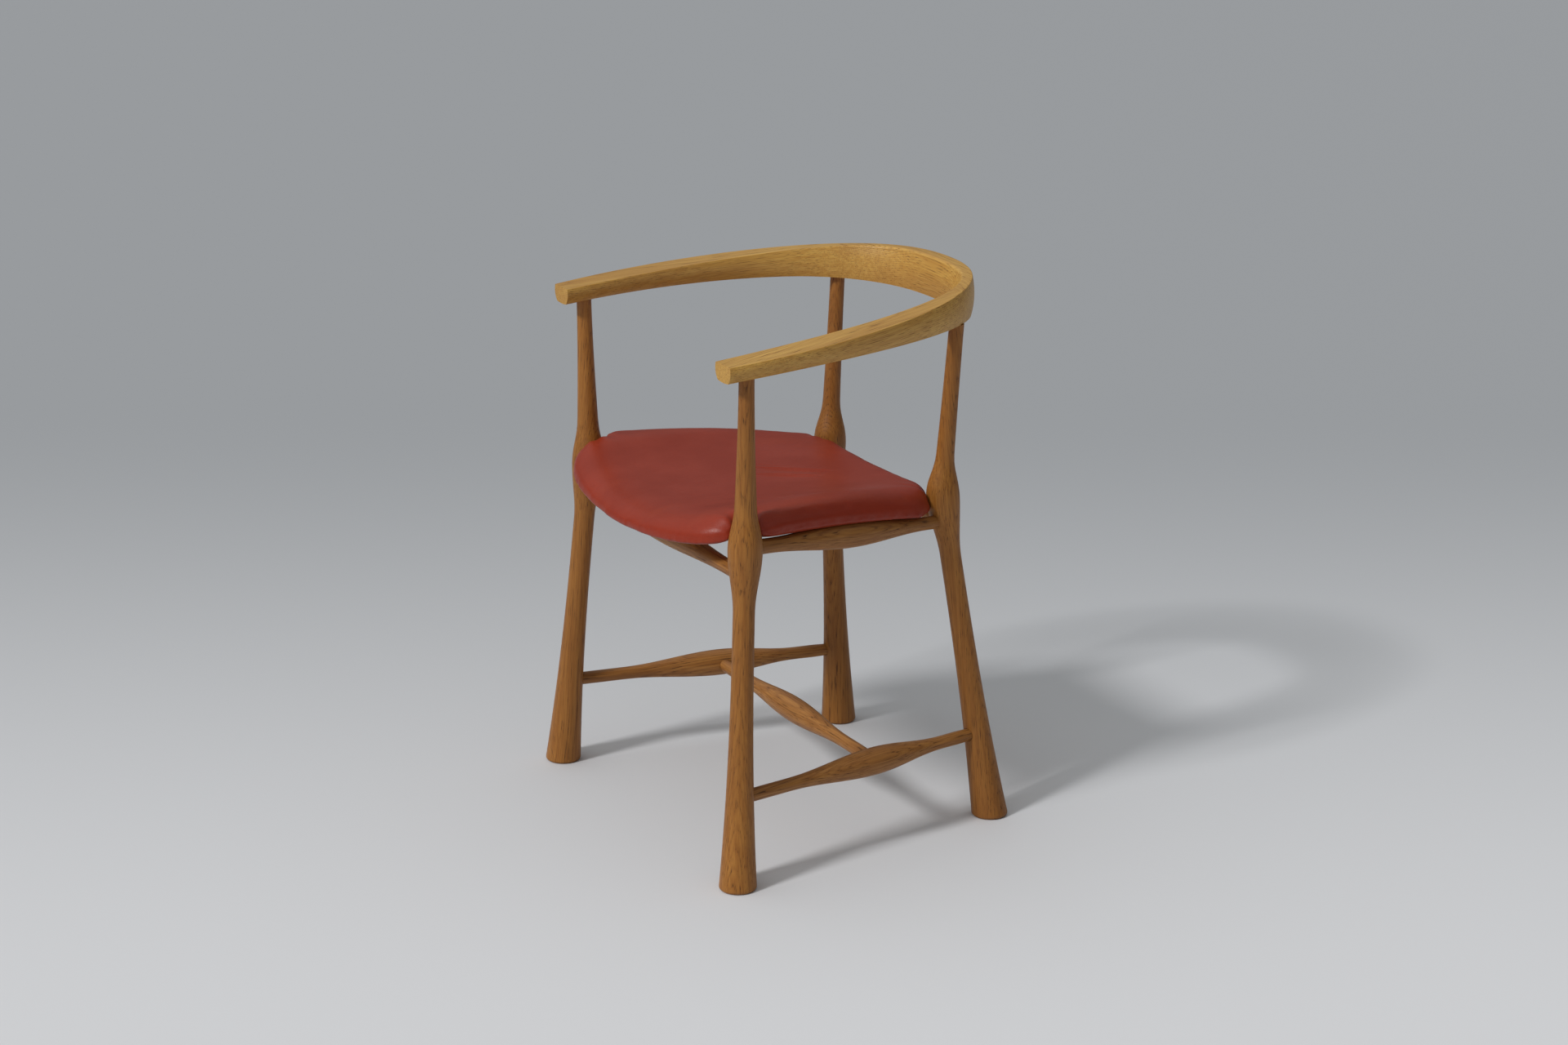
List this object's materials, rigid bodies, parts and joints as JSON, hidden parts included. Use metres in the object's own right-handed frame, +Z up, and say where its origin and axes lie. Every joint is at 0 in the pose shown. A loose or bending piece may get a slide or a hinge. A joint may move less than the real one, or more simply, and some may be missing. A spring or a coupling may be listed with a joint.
{
  "type": "desk chair",
  "caption": "Oak desk chair with turned, kneed legs, a low horseshoe rail that serves as arms and back, and a thin leather-covered saddle seat.",
  "frame": {"origin": "point on the floor under the middle of the chair's overall box", "axes": "+Z up, -Y to the front of the chair, +X to the right of a viewer who faces its front"},
  "size_m": [0.553, 0.4955, 0.7072],
  "materials": {
    "oak": "oiled oak with open pores, satin",
    "plywood": "raw moulded board",
    "foam": "soft padding",
    "leather": "red-brown smooth leather, soft gloss",
    "screw_steel": "plain steel"
  },
  "bodies": {
    "root": {"front_left_leg": "oak", "front_right_leg": "oak", "rear_left_leg": "oak", "rear_right_leg": "oak", "left_arm": "oak", "right_arm": "oak", "back_rail": "oak", "left_stretcher": "oak", "right_stretcher": "oak", "cross_stretcher": "oak", "left_rail": "oak", "right_rail": "oak", "front_rail": "oak", "rear_rail": "oak", "seat_board": "plywood", "seat_padding": "foam", "seat_cover": "leather", "seat_screws": "screw_steel"}
  },
  "joints": []
}
